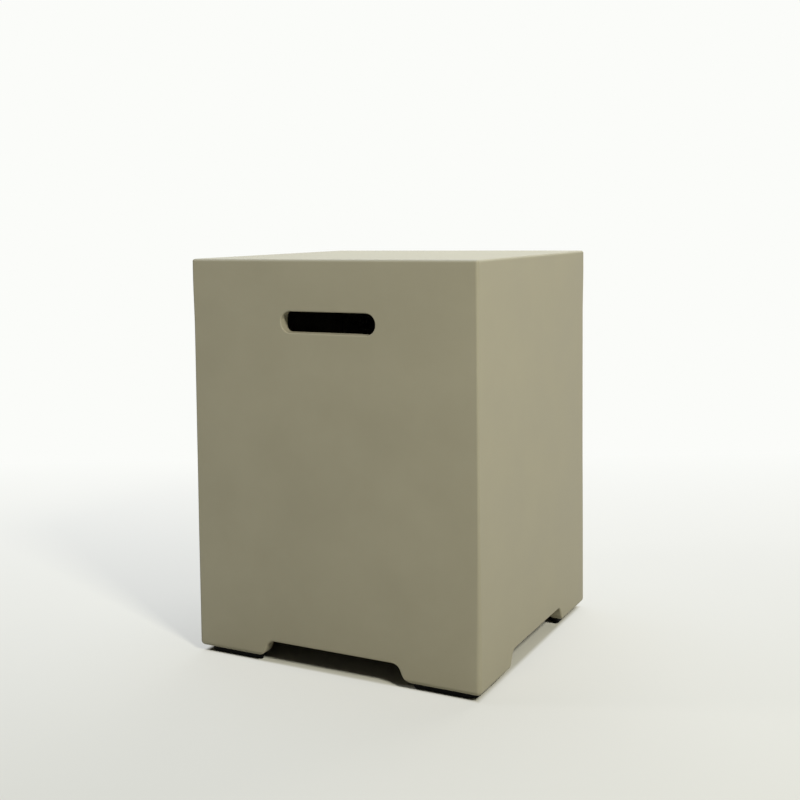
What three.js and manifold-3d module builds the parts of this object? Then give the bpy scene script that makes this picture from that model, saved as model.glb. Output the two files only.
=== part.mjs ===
// A square cover that stands over a portable gas cylinder and serves as a side table.
// One cast shell with a hand slot and four feet stands on four rubber pads. Each pad is held by two
// screws with washers, in threaded inserts that are cast into the feet.
// Millimetres, +Z up. The origin is on the floor, under the middle of the cover. The front is -Y.

import * as THREE from "three";
import { RoundedBoxGeometry } from "three/addons/geometries/RoundedBoxGeometry.js";
import { mergeVertices } from "three/addons/utils/BufferGeometryUtils.js";
import Module from "manifold-3d";

const wasm = await Module();
wasm.setup();

// Shell
const shellWidth = 400;
const shellDepth = 400;
const shellHeight = 512;
const wallThickness = 18;
const topThickness = 20;
const outerEdgeRadius = 4.5;
const cavityEdgeRadius = 12;

// Hand slot, a round-ended hole through the front wall and the same through the back wall
const slotLength = 132;
const slotHeight = 27;
const slotDropFromTop = 78.5;
const slotOuterLip = 1.5;
const slotInnerLip = 1.5;

// Foot cutouts, one low opening with sloped ends in each wall
const cutoutHeight = 22;
const footLengthAtBottom = 99;
const footLengthAtCutoutTop = 108.5;
const cutoutTopFillet = 12;
const footToeRadius = 15;

// Corner blocks, which thicken the inside of each foot
const cornerBlockLeg = 50;
const cornerBlockFaceHeight = 34;
const cornerBlockSlopeRise = 30;

// Foot pads
const padThickness = 8;
const padInset = 10;
const padOuterCornerRadius = 12;
const padEndSetback = 8;
const padInnerSetback = 1;
const padCornerRadius = 3;

// Screws and washers, recessed in counterbores in the pads
const screwNearOffset = 28;
const screwFarOffset = 44;
const screwDiameter = 5;
const screwHeadDiameter = 9.5;
const screwHeadHeight = 2.6;
const screwHeadEdgeRadius = 1.2;
const screwLength = 16;
const screwTipChamfer = 1;
const driveSlotWidth = 1.3;
const driveSlotSpan = 5.6;
const driveSlotDepth = 1.6;
const washerDiameter = 12;
const washerThickness = 1.2;
const counterboreDepth = 5;
const counterboreClearance = 1;
const shankClearance = 0.4;

// Cast-in inserts
const insertDiameter = 9;
const insertLength = 18;
const insertWaistDiameter = 7.4;
const insertWaistLength = 6;
const insertWaistSlopeLength = 1;
const insertEndWall = 2.5;
const threadClearance = 0.3;
const castingClearance = 0.3;

// How far a cut runs past the faces that it opens
const cutOverrun = 5;

// Facets of the rounded forms
const outerEdgeFacets = 3;
const cavityEdgeFacets = 3;
const outlineArcFacets = 6;
const slotEndFacets = 20;
const slotLipFacets = 4;
const roundFacets = 16;
const insertFacets = 12;
const headEdgeFacets = 3;

const shellBottom = padThickness;
const shellTop = shellBottom + shellHeight;
const cavityWidth = shellWidth - 2 * wallThickness;
const cavityDepth = shellDepth - 2 * wallThickness;
const cavityTop = shellTop - topThickness;

// Finishes
const finishes = {
  coatedConcrete: { color: 0x9a9480, roughness: 0.55, metalness: 0 },
  blackRubber: { color: 0x161616, roughness: 0.85, metalness: 0 },
  zincPlatedSteel: { color: 0xb4b6b8, roughness: 0.35, metalness: 1 },
  insertBrass: { color: 0xb8975a, roughness: 0.4, metalness: 1 },
};

// The four corners, each as the signs of its X and Y.
const corners = [
  { name: "front_left", x: -1, y: -1 },
  { name: "front_right", x: 1, y: -1 },
  { name: "back_left", x: -1, y: 1 },
  { name: "back_right", x: 1, y: 1 },
];

// Two screws a corner, each as its distances from the shell's outer faces.
const screwPlaces = [
  { name: "a", alongX: screwNearOffset, alongY: screwFarOffset },
  { name: "b", alongX: screwFarOffset, alongY: screwNearOffset },
];

// A closed geometry as a solid that can be cut and joined.
function solid(geometry) {
  const bare = geometry.clone();
  bare.deleteAttribute("normal");
  bare.deleteAttribute("uv");
  const merged = mergeVertices(bare);
  const index = merged.index.array;
  const triangles = [];
  for (let i = 0; i < index.length; i += 3) {
    const [a, b, c] = index.slice(i, i + 3);
    if (a !== b && b !== c && c !== a) {
      triangles.push(a, b, c);
    }
  }
  const mesh = new wasm.Mesh({
    numProp: 3,
    vertProperties: new Float32Array(merged.attributes.position.array),
    triVerts: new Uint32Array(triangles),
  });
  return new wasm.Manifold(mesh);
}

// A solid as a geometry again.
function geometryOf(body) {
  const mesh = body.getMesh();
  const geometry = new THREE.BufferGeometry();
  geometry.setAttribute("position", new THREE.BufferAttribute(new Float32Array(mesh.vertProperties), 3));
  geometry.setIndex(new THREE.BufferAttribute(new Uint32Array(mesh.triVerts), 1));
  geometry.computeVertexNormals();
  return geometry;
}

// An outline whose corners are given as [x, y, fillet radius], anticlockwise.
function filletedShape(outline) {
  const shape = new THREE.Shape();
  outline.forEach(([x, y, radius], i) => {
    const [nextX, nextY] = outline[(i + 1) % outline.length];
    const [lastX, lastY] = outline.at(i - 1);
    const corner = new THREE.Vector2(x, y);
    if (radius === 0) {
      if (i === 0) {
        shape.moveTo(x, y);
      } else {
        shape.lineTo(x, y);
      }
      return;
    }
    const incoming = new THREE.Vector2(x - lastX, y - lastY).normalize();
    const outgoing = new THREE.Vector2(nextX - x, nextY - y).normalize();
    const turn = Math.asin(THREE.MathUtils.clamp(incoming.cross(outgoing), -1, 1));
    const side = Math.sign(turn);
    const tangent = radius * Math.tan(Math.abs(turn) / 2);
    const start = corner.clone().addScaledVector(incoming, -tangent);
    const leftward = new THREE.Vector2(-incoming.y, incoming.x);
    const centre = start.clone().addScaledVector(leftward, side * radius);
    const startAngle = Math.atan2(start.y - centre.y, start.x - centre.x);
    shape.absarc(centre.x, centre.y, radius, startAngle, startAngle + turn, side < 0);
  });
  return shape;
}

// A flat outline given depth, from z = 0 upwards.
function extruded(shape, depth) {
  return new THREE.ExtrudeGeometry(shape, { depth, bevelEnabled: false, curveSegments: outlineArcFacets });
}

// A box with every edge rounded, standing on z = 0.
function roundedBlock(width, depth, height, radius, facets) {
  return new RoundedBoxGeometry(width, depth, height, facets, radius).translate(0, 0, height / 2);
}

// The cutout seen square on, upright from the shell's bottom edge.
function cutoutOutline(span) {
  const bottomHalf = span / 2 - footLengthAtBottom;
  const topHalf = span / 2 - footLengthAtCutoutTop;
  const slope = Math.atan2(cutoutHeight, bottomHalf - topHalf);
  const toeHalf = bottomHalf + footToeRadius * Math.tan(slope / 2);
  return filletedShape([
    [-toeHalf, -cutOverrun, 0],
    [toeHalf, -cutOverrun, 0],
    [toeHalf, 0, 0],
    [bottomHalf, 0, footToeRadius],
    [topHalf, cutoutHeight, cutoutTopFillet],
    [-topHalf, cutoutHeight, cutoutTopFillet],
    [-bottomHalf, 0, footToeRadius],
    [-toeHalf, 0, 0],
  ]);
}

// A cutout that runs along Y through two opposite walls.
function cutoutThroughWalls(span, run) {
  const length = run + 2 * cutOverrun;
  const upright = extruded(cutoutOutline(span), length).rotateX(Math.PI / 2);
  return solid(upright.translate(0, length / 2, shellBottom));
}

// Half the slot's height along the wall's thickness: flared at the outer lip and at the inner lip.
function slotProfile() {
  const halfHeight = slotHeight / 2;
  const profile = [new THREE.Vector2(halfHeight + slotOuterLip, -cutOverrun)];
  for (let i = 0; i <= slotLipFacets; i += 1) {
    const angle = (i / slotLipFacets) * (Math.PI / 2);
    const radius = halfHeight + slotOuterLip * (1 - Math.sin(angle));
    profile.push(new THREE.Vector2(radius, slotOuterLip * (1 - Math.cos(angle))));
  }
  for (let i = slotLipFacets; i >= 0; i -= 1) {
    const angle = (i / slotLipFacets) * (Math.PI / 2);
    const radius = halfHeight + slotInnerLip * (1 - Math.sin(angle));
    profile.push(new THREE.Vector2(radius, wallThickness - slotInnerLip * (1 - Math.cos(angle))));
  }
  profile.push(new THREE.Vector2(halfHeight + slotInnerLip, wallThickness + cutOverrun));
  return profile;
}

// The hole of the front hand slot: a flared round end at each side and a flared straight run between.
function slotHole() {
  const profile = slotProfile();
  const endCentre = (slotLength - slotHeight) / 2;
  const firstDepth = profile[0].y;
  const lastDepth = profile.at(-1).y;
  const endSection = [new THREE.Vector2(0, firstDepth), ...profile, new THREE.Vector2(0, lastDepth)];
  const roundEnd = solid(new THREE.LatheGeometry(endSection, slotEndFacets));
  const below = profile.map((point) => new THREE.Vector2(-point.x, point.y)).reverse();
  const section = new THREE.Shape([...profile, ...below]);
  const straight = extruded(section, 2 * endCentre).translate(0, 0, -endCentre).rotateY(Math.PI / 2);
  return solid(straight)
    .add(roundEnd.translate(-endCentre, 0, 0))
    .add(roundEnd.translate(endCentre, 0, 0))
    .translate(0, -shellDepth / 2, shellTop - slotDropFromTop);
}

// The block that fills one inner corner near the floor. It runs on into the walls, which end it.
function cornerBlock(corner) {
  const reach = cornerBlockLeg / Math.SQRT2;
  const section = new THREE.Shape([
    new THREE.Vector2(-wallThickness, -cutOverrun),
    new THREE.Vector2(reach, -cutOverrun),
    new THREE.Vector2(reach, cornerBlockFaceHeight),
    new THREE.Vector2(0, cornerBlockFaceHeight + cornerBlockSlopeRise),
    new THREE.Vector2(-wallThickness, cornerBlockFaceHeight + cornerBlockSlopeRise),
  ]);
  const breadth = 2 * (reach + wallThickness);
  const inward = Math.atan2(-corner.y, -corner.x);
  const block = extruded(section, breadth).translate(0, 0, -breadth / 2).rotateX(Math.PI / 2).rotateZ(inward);
  const x = (corner.x * cavityWidth) / 2;
  const y = (corner.y * cavityDepth) / 2;
  return solid(block.translate(x, y, shellBottom));
}

// The insert's outer form, grown by a clearance where it is the hole that the insert sits in.
function insertProfile(grow) {
  const radius = insertDiameter / 2 + grow;
  const waistRadius = insertWaistDiameter / 2 + grow;
  const waistStart = (insertLength - insertWaistLength) / 2;
  const waistEnd = waistStart + insertWaistLength;
  return [
    new THREE.Vector2(radius, 0),
    new THREE.Vector2(radius, waistStart),
    new THREE.Vector2(waistRadius, waistStart + insertWaistSlopeLength),
    new THREE.Vector2(waistRadius, waistEnd - insertWaistSlopeLength),
    new THREE.Vector2(radius, waistEnd),
    new THREE.Vector2(radius, insertLength + grow),
    new THREE.Vector2(0, insertLength + grow),
  ];
}

// A turned form about the upright axis.
function turned(profile, facets = roundFacets) {
  return new THREE.LatheGeometry(profile, facets).rotateX(Math.PI / 2);
}

// A plain upright round bar from one height to another.
function roundBar(radius, from, to) {
  const height = to - from;
  const bar = new THREE.CylinderGeometry(radius, radius, height, roundFacets).rotateX(Math.PI / 2);
  return bar.translate(0, 0, from + height / 2);
}

// Where a screw stands, seen from above.
function screwCentre(corner, place) {
  return {
    x: corner.x * (shellWidth / 2 - place.alongX),
    y: corner.y * (shellDepth / 2 - place.alongY),
  };
}

// The hole that an insert is cast into, open at the foot's bottom face.
function insertHole(corner, place) {
  const centre = screwCentre(corner, place);
  const profile = insertProfile(castingClearance);
  const mouth = [
    new THREE.Vector2(0, -cutOverrun),
    new THREE.Vector2(profile[0].x, -cutOverrun),
    ...profile.slice(1),
  ];
  return solid(turned(mouth, insertFacets).translate(centre.x, centre.y, shellBottom));
}

// Shell: one casting, hollow from below.
function shellSolid() {
  const block = solid(roundedBlock(shellWidth, shellDepth, shellHeight, outerEdgeRadius, outerEdgeFacets));
  const hollowDrop = cavityEdgeRadius + cutOverrun;
  const hollowHeight = cavityTop - shellBottom + hollowDrop;
  const hollow = roundedBlock(cavityWidth, cavityDepth, hollowHeight, cavityEdgeRadius, cavityEdgeFacets);
  let cavity = solid(hollow.translate(0, 0, shellBottom - hollowDrop));
  for (const corner of corners) {
    cavity = cavity.subtract(cornerBlock(corner));
  }
  const slot = slotHole();
  let shell = block.translate(0, 0, shellBottom)
    .subtract(cavity)
    .subtract(slot)
    .subtract(slot.rotate([0, 0, 180]))
    .subtract(cutoutThroughWalls(shellWidth, shellDepth))
    .subtract(cutoutThroughWalls(shellDepth, shellWidth).rotate([0, 0, 90]));
  for (const corner of corners) {
    for (const place of screwPlaces) {
      shell = shell.subtract(insertHole(corner, place));
    }
  }
  return shell;
}

// Foot pad: follows the foot's two walls and its corner block, set back from the outer faces.
function padSolid(corner) {
  const reach = footLengthAtBottom - padEndSetback;
  const legEdge = wallThickness - padInnerSetback;
  const blockFace = 2 * wallThickness + cornerBlockLeg - padInnerSetback * Math.SQRT2;
  const outline = filletedShape([
    [padInset, padInset, padOuterCornerRadius],
    [reach, padInset, padCornerRadius],
    [reach, legEdge, padCornerRadius],
    [blockFace - legEdge, legEdge, 0],
    [legEdge, blockFace - legEdge, 0],
    [legEdge, reach, padCornerRadius],
    [padInset, reach, padCornerRadius],
  ]);
  let pad = solid(extruded(outline, padThickness));
  for (const place of screwPlaces) {
    const hole = roundBar(screwDiameter / 2 + shankClearance, -cutOverrun, padThickness + cutOverrun);
    const bore = roundBar(washerDiameter / 2 + counterboreClearance, -cutOverrun, counterboreDepth);
    pad = pad.subtract(solid(hole.translate(place.alongX, place.alongY, 0)));
    pad = pad.subtract(solid(bore.translate(place.alongX, place.alongY, 0)));
  }
  return pad.scale([-corner.x, -corner.y, 1]);
}

// Washer: a flat ring on the counterbore's floor.
function washerGeometry() {
  const bore = screwDiameter / 2 + shankClearance;
  const rim = washerDiameter / 2;
  const ring = [
    new THREE.Vector2(bore, 0),
    new THREE.Vector2(rim, 0),
    new THREE.Vector2(rim, washerThickness),
    new THREE.Vector2(bore, washerThickness),
    new THREE.Vector2(bore, 0),
  ];
  return turned(ring);
}

// Screw: a pan head below, a shank above, and a cross recess in the head. The head's seat is z = 0.
function screwSolid() {
  const headRadius = screwHeadDiameter / 2;
  const shankRadius = screwDiameter / 2;
  const profile = [new THREE.Vector2(0, -screwHeadHeight)];
  for (let i = 0; i <= headEdgeFacets; i += 1) {
    const angle = (i / headEdgeFacets) * (Math.PI / 2);
    const x = headRadius - screwHeadEdgeRadius * (1 - Math.sin(angle));
    const y = -screwHeadHeight + screwHeadEdgeRadius * (1 - Math.cos(angle));
    profile.push(new THREE.Vector2(x, y));
  }
  profile.push(
    new THREE.Vector2(headRadius, 0),
    new THREE.Vector2(shankRadius, 0),
    new THREE.Vector2(shankRadius, screwLength - screwTipChamfer),
    new THREE.Vector2(shankRadius - screwTipChamfer, screwLength),
    new THREE.Vector2(0, screwLength),
  );
  const recessBottom = -screwHeadHeight - cutOverrun;
  const recessHeight = driveSlotDepth + cutOverrun;
  const recess = new THREE.BoxGeometry(driveSlotSpan, driveSlotWidth, recessHeight);
  const armAlongX = solid(recess.translate(0, 0, recessBottom + recessHeight / 2));
  return solid(turned(profile)).subtract(armAlongX.add(armAlongX.rotate([0, 0, 90])));
}

// Insert: a brass bush with a waist that the concrete grips, threaded from below and closed above.
function insertGeometry() {
  const bore = screwDiameter / 2 + threadClearance;
  const inside = [
    new THREE.Vector2(0, insertLength - insertEndWall),
    new THREE.Vector2(bore, insertLength - insertEndWall),
    new THREE.Vector2(bore, 0),
  ];
  return turned([...inside, ...insertProfile(0)], insertFacets);
}

// A named piece with a material of its own.
function piece(name, geometry, finish, x, y, z) {
  const mesh = new THREE.Mesh(geometry, new THREE.MeshStandardMaterial(finishes[finish]));
  mesh.name = name;
  mesh.position.set(x, y, z);
  return mesh;
}

const cover = new THREE.Group();
cover.name = "gas_cylinder_cover_table";
cover.add(piece("shell", geometryOf(shellSolid()), "coatedConcrete", 0, 0, 0));

const screwForm = geometryOf(screwSolid());
const washerForm = washerGeometry();
const insertForm = insertGeometry();
for (const corner of corners) {
  const foot = new THREE.Group();
  const padX = (corner.x * shellWidth) / 2;
  const padY = (corner.y * shellDepth) / 2;
  foot.add(piece(`foot_pad_${corner.name}`, geometryOf(padSolid(corner)), "blackRubber", padX, padY, 0));
  for (const place of screwPlaces) {
    const { x, y } = screwCentre(corner, place);
    const ending = `${corner.name}_${place.name}`;
    const washerBottom = counterboreDepth - washerThickness;
    foot.add(piece(`pad_washer_${ending}`, washerForm, "zincPlatedSteel", x, y, washerBottom));
    foot.add(piece(`pad_screw_${ending}`, screwForm, "zincPlatedSteel", x, y, washerBottom));
    foot.add(piece(`cast_in_insert_${ending}`, insertForm, "insertBrass", x, y, shellBottom));
  }
  cover.add(foot);
}

export default cover;
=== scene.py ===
# %% [markdown]
# # A cast cover table for a gas cylinder
# The real object is one thin-walled concrete casting, open below, with a satin coat of paint.
# Four black rubber pads are screwed under its feet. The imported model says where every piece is.
# This script keeps those places, and makes each surface as fine as the real one.

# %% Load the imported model
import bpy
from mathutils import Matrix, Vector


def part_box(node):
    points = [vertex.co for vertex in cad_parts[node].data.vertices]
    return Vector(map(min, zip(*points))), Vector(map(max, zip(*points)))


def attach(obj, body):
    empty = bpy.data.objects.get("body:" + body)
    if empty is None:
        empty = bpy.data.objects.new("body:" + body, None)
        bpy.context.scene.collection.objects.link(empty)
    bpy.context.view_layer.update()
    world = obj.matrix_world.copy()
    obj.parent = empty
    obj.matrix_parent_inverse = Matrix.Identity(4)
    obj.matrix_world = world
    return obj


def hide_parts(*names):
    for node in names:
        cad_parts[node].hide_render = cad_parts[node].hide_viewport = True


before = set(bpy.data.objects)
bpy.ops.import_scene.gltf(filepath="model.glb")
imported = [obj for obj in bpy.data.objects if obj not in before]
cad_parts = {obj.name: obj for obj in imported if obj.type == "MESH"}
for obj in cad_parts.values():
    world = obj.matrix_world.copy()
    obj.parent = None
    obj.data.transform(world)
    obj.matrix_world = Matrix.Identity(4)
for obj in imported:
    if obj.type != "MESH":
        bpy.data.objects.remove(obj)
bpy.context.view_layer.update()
print("pieces in the packed model:", len(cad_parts))

# %% [markdown]
# ## Units and the shell's own box
# Blender works in metres and a maker's drawing in millimetres, so `MM` turns one into the other.
# The shell is square and the same on all four sides, so half its width is all that its plan needs,
# and most forms are made for one quarter or one wall and turned.

# %% Units and the shell's box
import math

import bmesh
import bpy
from mathutils import Matrix, Vector, noise

MM = 0.001
QUARTER = math.pi / 2
shell_low, shell_high = (Vector(corner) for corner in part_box("shell"))
shell_half = (shell_high.x - shell_low.x) / 2
shell_height = shell_high.z - shell_low.z
print("shell, mm:", round(2 * shell_half / MM, 1), "wide,", round(shell_height / MM, 1), "tall")

# %% [markdown]
# ## Nodes and colours
# A material is a small graph of nodes. One function adds a node with its settings and its links,
# and another turns a colour written as sRGB hex, as a paint card gives it, into linear light.
# A pattern's scale is given by its real size, because noise repeats once in 1 / scale metres.
# A range node takes two pairs of ends, and each pair is given as one value.

# %% Nodes and colours
def add(tree, kind, inputs=None, **settings):
    node = tree.nodes.new(kind)
    for name, value in settings.items():
        setattr(node, name, value)
    for name, value in (inputs or {}).items():
        if isinstance(value, bpy.types.NodeSocket):
            tree.links.new(value, node.inputs[name])
        else:
            node.inputs[name].default_value = value
    return node


def linear(code):
    parts = [int(code[i:i + 2], 16) / 255 for i in (1, 3, 5)]
    return (*[p / 12.92 if p <= 0.04045 else ((p + 0.055) / 1.055) ** 2.4 for p in parts], 1)


def new_material(name):
    material = bpy.data.materials.new(name)
    material.use_nodes = True
    tree = material.node_tree
    tree.nodes.clear()
    place = add(tree, "ShaderNodeTexCoord").outputs["Object"]
    return material, tree, place


def pattern_scale(size):
    return 1 / size


def ends(side, pair):
    return {side + " Min": pair[0], side + " Max": pair[1]}


print("linear light of mid grey:", round(linear("#808080")[0], 3))

# %% [markdown]
# ## Satin coat
# The casting is sprayed with a satin masonry lacquer. Sprayed lacquer never lies quite flat: it
# keeps a low orange peel, and the sanded concrete under it shows as slow waves and faint clouds.
# A few air holes of the casting stay open under the coat. To the eye that is a calm, soft surface
# whose highlight breaks up a little. Real orange peel is about 1 mm across, too fine to show from
# here, so it is drawn 2.4 mm across.

# %% Satin coat
COAT_COLOUR = "#a29c86"
COAT_LIGHT_CLOUD = "#a59f89"
COAT_DARK_CLOUD = "#9f9983"
COAT_ROUGHNESS = (0.52, 0.62)
COAT_IOR = 1.42
CLOUD_SIZE = 90 * MM
CLOUD_SPREAD = (0.3, 0.7)
PEEL_SIZE = 2.4 * MM
PEEL_HEIGHT = 0.012 * MM
SANDING_WAVE_SIZE = 34 * MM
SANDING_WAVE_HEIGHT = 0.05 * MM
PINHOLE_SPACING = 46 * MM
PINHOLE_RADIUS = 0.45 * MM
PINHOLE_DEPTH = 0.25 * MM
PINHOLE_EDGE = (0.5 * PINHOLE_RADIUS / PINHOLE_SPACING, PINHOLE_RADIUS / PINHOLE_SPACING)


def coat_colour(tree, place):
    clouds = add(tree, "ShaderNodeTexNoise", {
        "Vector": place, "Scale": pattern_scale(CLOUD_SIZE), "Detail": 4})
    ramp = add(tree, "ShaderNodeValToRGB", {"Fac": clouds.outputs["Fac"]})
    dark, light = ramp.color_ramp.elements
    dark.position, light.position = CLOUD_SPREAD
    dark.color = linear(COAT_DARK_CLOUD)
    light.color = linear(COAT_LIGHT_CLOUD)
    ramp.color_ramp.elements.new(sum(CLOUD_SPREAD) / 2).color = linear(COAT_COLOUR)
    return ramp.outputs["Color"], clouds.outputs["Fac"]


def satin_coat():
    material, tree, place = new_material("sprayed_satin_lacquer_on_concrete")
    colour, clouds = coat_colour(tree, place)
    roughness = add(tree, "ShaderNodeMapRange", {
        "Value": clouds, **ends("From", CLOUD_SPREAD), **ends("To", COAT_ROUGHNESS)})
    waves = add(tree, "ShaderNodeTexNoise", {
        "Vector": place, "Scale": pattern_scale(SANDING_WAVE_SIZE), "Detail": 1})
    wave_bump = add(tree, "ShaderNodeBump", {
        "Height": waves.outputs["Fac"], "Distance": SANDING_WAVE_HEIGHT})
    peel = add(tree, "ShaderNodeTexNoise", {
        "Vector": place, "Scale": pattern_scale(PEEL_SIZE), "Detail": 2})
    peel_bump = add(tree, "ShaderNodeBump", {
        "Height": peel.outputs["Fac"], "Distance": PEEL_HEIGHT, "Normal": wave_bump.outputs["Normal"]})
    holes = add(tree, "ShaderNodeTexVoronoi", {"Vector": place, "Scale": pattern_scale(PINHOLE_SPACING)})
    hole_edge = add(tree, "ShaderNodeMapRange", {
        "Value": holes.outputs["Distance"], **ends("From", PINHOLE_EDGE)})
    hole_bump = add(tree, "ShaderNodeBump", {
        "Height": hole_edge.outputs["Result"], "Distance": PINHOLE_DEPTH,
        "Normal": peel_bump.outputs["Normal"]})
    surface = add(tree, "ShaderNodeBsdfPrincipled", {
        "Base Color": colour, "Roughness": roughness.outputs["Result"], "IOR": COAT_IOR,
        "Normal": hole_bump.outputs["Normal"]})
    add(tree, "ShaderNodeOutputMaterial", {"Surface": surface.outputs["BSDF"]})
    return material


coat = satin_coat()
print("material:", coat.name)

# %% [markdown]
# ## Bare concrete inside
# Nobody coats the inside. It keeps the grey of cement with pale glass fibres and open air holes,
# and only its lowest few centimetres catch overspray from the outside. To the eye it is dull,
# grainy and darker than the coat. So this material is concrete that turns into the coat's colour
# towards the shell's lower edge, in a ragged fade.

# %% Bare concrete inside
CEMENT_DARK = "#58554f"
CEMENT_LIGHT = "#7b776e"
FIBRE_COLOUR = "#a3a097"
CEMENT_ROUGHNESS = 0.9
CEMENT_IOR = 1.5
CEMENT_PATCH_SIZE = 60 * MM
CEMENT_SPREAD = (0.35, 0.65)
AIR_HOLE_SPACING = 7 * MM
AIR_HOLE_EDGE = (0.08, 0.16)
AIR_HOLE_DEPTH = 0.5 * MM
FIBRE_LENGTH = 14 * MM
FIBRE_WIDTH = 1 * MM
FIBRE_TURN = (0.4, 0.7, 0.3)
FIBRE_SPREAD = (0.66, 0.74)
GRAIN_SIZE = 1.5 * MM
GRAIN_HEIGHT = 0.1 * MM
OVERSPRAY_REACH = 34 * MM
OVERSPRAY_RAGGED = 14 * MM
OVERSPRAY_SPREAD = (0.3, 0.7)


def bare_concrete():
    material, tree, place = new_material("bare_fibre_concrete_with_overspray")
    patches = add(tree, "ShaderNodeTexNoise", {
        "Vector": place, "Scale": pattern_scale(CEMENT_PATCH_SIZE), "Detail": 6})
    cement = add(tree, "ShaderNodeValToRGB", {"Fac": patches.outputs["Fac"]})
    dark, light = cement.color_ramp.elements
    dark.position, light.position = CEMENT_SPREAD
    dark.color = linear(CEMENT_DARK)
    light.color = linear(CEMENT_LIGHT)
    stretch = add(tree, "ShaderNodeMapping", {
        "Vector": place, "Rotation": FIBRE_TURN,
        "Scale": [pattern_scale(size) for size in (FIBRE_LENGTH, FIBRE_WIDTH, FIBRE_WIDTH)]})
    strands = add(tree, "ShaderNodeTexNoise", {
        "Vector": stretch.outputs["Vector"], "Scale": 1, "Detail": 0})
    fibres = add(tree, "ShaderNodeMapRange", {
        "Value": strands.outputs["Fac"], **ends("From", FIBRE_SPREAD)})
    with_fibres = add(tree, "ShaderNodeMixRGB", {
        "Fac": fibres.outputs["Result"], "Color1": cement.outputs["Color"],
        "Color2": linear(FIBRE_COLOUR)})
    height = add(tree, "ShaderNodeSeparateXYZ", {"Vector": place})
    ragged = add(tree, "ShaderNodeTexNoise", {
        "Vector": place, "Scale": pattern_scale(OVERSPRAY_RAGGED), "Detail": 3})
    top = shell_low.z + OVERSPRAY_REACH
    edge = add(tree, "ShaderNodeMapRange", {
        "Value": ragged.outputs["Fac"], **ends("From", OVERSPRAY_SPREAD),
        **ends("To", (top - OVERSPRAY_RAGGED, top + OVERSPRAY_RAGGED))})
    below = add(tree, "ShaderNodeMath", {
        0: edge.outputs["Result"], 1: height.outputs["Z"]}, operation="SUBTRACT")
    spray = add(tree, "ShaderNodeMapRange", {
        "Value": below.outputs["Value"], **ends("From", (-OVERSPRAY_RAGGED, OVERSPRAY_REACH / 2))})
    colour, _ = coat_colour(tree, place)
    sprayed = add(tree, "ShaderNodeMixRGB", {
        "Fac": spray.outputs["Result"], "Color1": with_fibres.outputs["Color"], "Color2": colour})
    grain = add(tree, "ShaderNodeTexNoise", {
        "Vector": place, "Scale": pattern_scale(GRAIN_SIZE), "Detail": 4})
    grain_bump = add(tree, "ShaderNodeBump", {"Height": grain.outputs["Fac"], "Distance": GRAIN_HEIGHT})
    holes = add(tree, "ShaderNodeTexVoronoi", {
        "Vector": place, "Scale": pattern_scale(AIR_HOLE_SPACING)})
    hole_edge = add(tree, "ShaderNodeMapRange", {
        "Value": holes.outputs["Distance"], **ends("From", AIR_HOLE_EDGE)})
    hole_bump = add(tree, "ShaderNodeBump", {
        "Height": hole_edge.outputs["Result"], "Distance": AIR_HOLE_DEPTH,
        "Normal": grain_bump.outputs["Normal"]})
    surface = add(tree, "ShaderNodeBsdfPrincipled", {
        "Base Color": sprayed.outputs["Color"], "Roughness": CEMENT_ROUGHNESS, "IOR": CEMENT_IOR,
        "Normal": hole_bump.outputs["Normal"]})
    add(tree, "ShaderNodeOutputMaterial", {"Surface": surface.outputs["BSDF"]})
    return material


concrete = bare_concrete()
print("material:", concrete.name)

# %% [markdown]
# ## Black rubber
# The pads are moulded from black EPDM rubber. The mould is spark eroded, so the rubber has a fine
# matt grain that swallows light: its pits trap most of what a smooth rubber would mirror, so its
# gloss is set low. A little grey bloom stays where dust and talc lie in the grain.
# The grain is really about 0.2 mm and is drawn 0.8 mm, so that it shows.

# %% Black rubber
RUBBER_COLOUR = "#070707"
RUBBER_BLOOM = "#0e0e0d"
RUBBER_ROUGHNESS = (0.72, 0.86)
RUBBER_IOR = 1.52
RUBBER_GLOSS = 0.12
BLOOM_SIZE = 18 * MM
BLOOM_SPREAD = (0.4, 0.75)
RUBBER_GRAIN_SIZE = 0.8 * MM
RUBBER_GRAIN_HEIGHT = 0.05 * MM


def black_rubber():
    material, tree, place = new_material("moulded_black_rubber")
    bloom = add(tree, "ShaderNodeTexNoise", {
        "Vector": place, "Scale": pattern_scale(BLOOM_SIZE), "Detail": 5})
    amount = add(tree, "ShaderNodeMapRange", {
        "Value": bloom.outputs["Fac"], **ends("From", BLOOM_SPREAD)})
    colour = add(tree, "ShaderNodeMixRGB", {
        "Fac": amount.outputs["Result"],
        "Color1": linear(RUBBER_COLOUR), "Color2": linear(RUBBER_BLOOM)})
    roughness = add(tree, "ShaderNodeMapRange", {
        "Value": bloom.outputs["Fac"], **ends("To", RUBBER_ROUGHNESS)})
    grain = add(tree, "ShaderNodeTexNoise", {
        "Vector": place, "Scale": pattern_scale(RUBBER_GRAIN_SIZE), "Detail": 2})
    bump = add(tree, "ShaderNodeBump", {"Height": grain.outputs["Fac"], "Distance": RUBBER_GRAIN_HEIGHT})
    surface = add(tree, "ShaderNodeBsdfPrincipled", {
        "Base Color": colour.outputs["Color"], "Roughness": roughness.outputs["Result"],
        "IOR": RUBBER_IOR, "Specular IOR Level": RUBBER_GLOSS, "Normal": bump.outputs["Normal"]})
    add(tree, "ShaderNodeOutputMaterial", {"Surface": surface.outputs["BSDF"]})
    return material


rubber = black_rubber()
print("material:", rubber.name)

# %% [markdown]
# ## Metals
# The screws and washers are steel with a bright zinc plating, which clouds in the bath and turns
# faintly blue and yellow. The inserts are turned from brass bar, whose cut surface is warmer in
# the hollows. To the eye both have a soft, cloudy shine with the fine rings that turning leaves.
# Both are metals, so their colour is in the reflection, and the default IOR stays.

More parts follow.
